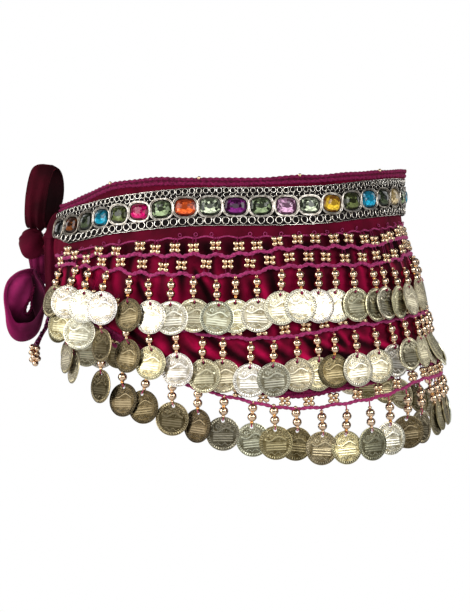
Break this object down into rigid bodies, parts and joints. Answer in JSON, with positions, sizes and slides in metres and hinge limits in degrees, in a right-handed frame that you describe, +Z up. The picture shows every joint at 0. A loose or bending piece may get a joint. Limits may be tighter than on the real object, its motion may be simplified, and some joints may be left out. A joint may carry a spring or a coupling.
{
  "type": "velvet coin hip belt",
  "caption": "Worn velvet hip belt with a jewelled metal braid, beaded crochet nets, rows of coin pendants and a side bow; hollow and open at top and bottom.",
  "frame": {"origin": "the middle of the waist ring, on the wearer's axis, at the height of the braid's middle in front", "axes": "+Z up the wearer's body, -Y to the wearer's front, +X to the viewer's right; the tie is at -X"},
  "size_m": [0.3416, 0.2387, 0.2251],
  "materials": {
    "velvet": "maroon velvet, soft nap",
    "crochet": "magenta crochet yarn",
    "net": "open crochet net with small gold seed beads",
    "braid": "antiqued silver wire on black ground",
    "gem": "faceted foiled glass in many colours",
    "bead": "polished gold-coloured metal",
    "coin": "struck pale brass, lightly worn"
  },
  "bodies": {
    "root": {"velvet_panel": "velvet", "top_edging": "crochet", "hem_edging": "crochet", "jewel_trim": "braid", "net_1a": "net", "cord_1": "crochet", "net_1b": "net", "cord_2": "crochet", "fringe_1": "coin", "net_2": "net", "cord_3": "crochet", "fringe_2": "coin", "net_3": "net", "cord_4": "crochet", "fringe_3": "coin", "tie_end_front": "velvet", "tie_end_back": "velvet", "tie_tail": "velvet", "bow_knot": "velvet", "bow_neck": "velvet", "bow_loop_upper": "velvet", "bow_loop_lower": "velvet", "tie_cord": "crochet", "gem_01": "gem", "gem_02": "gem", "gem_03": "gem", "gem_04": "gem", "gem_05": "gem", "gem_06": "gem", "gem_07": "gem", "gem_08": "gem", "gem_09": "gem", "gem_10": "gem", "gem_11": "gem", "gem_12": "gem", "gem_13": "gem", "gem_14": "gem", "gem_15": "gem", "gem_16": "gem", "gem_17": "gem", "gem_18": "gem", "gem_19": "gem", "gem_20": "gem", "gem_21": "gem", "gem_22": "gem", "gem_23": "gem", "gem_24": "gem", "gem_25": "gem", "gem_26": "gem", "gem_27": "gem", "gem_28": "gem", "gem_29": "gem", "gem_30": "gem", "gem_31": "gem", "gem_32": "gem", "gem_33": "gem", "gem_34": "gem", "gem_35": "gem", "gem_36": "gem", "gem_37": "gem"}
  },
  "joints": []
}
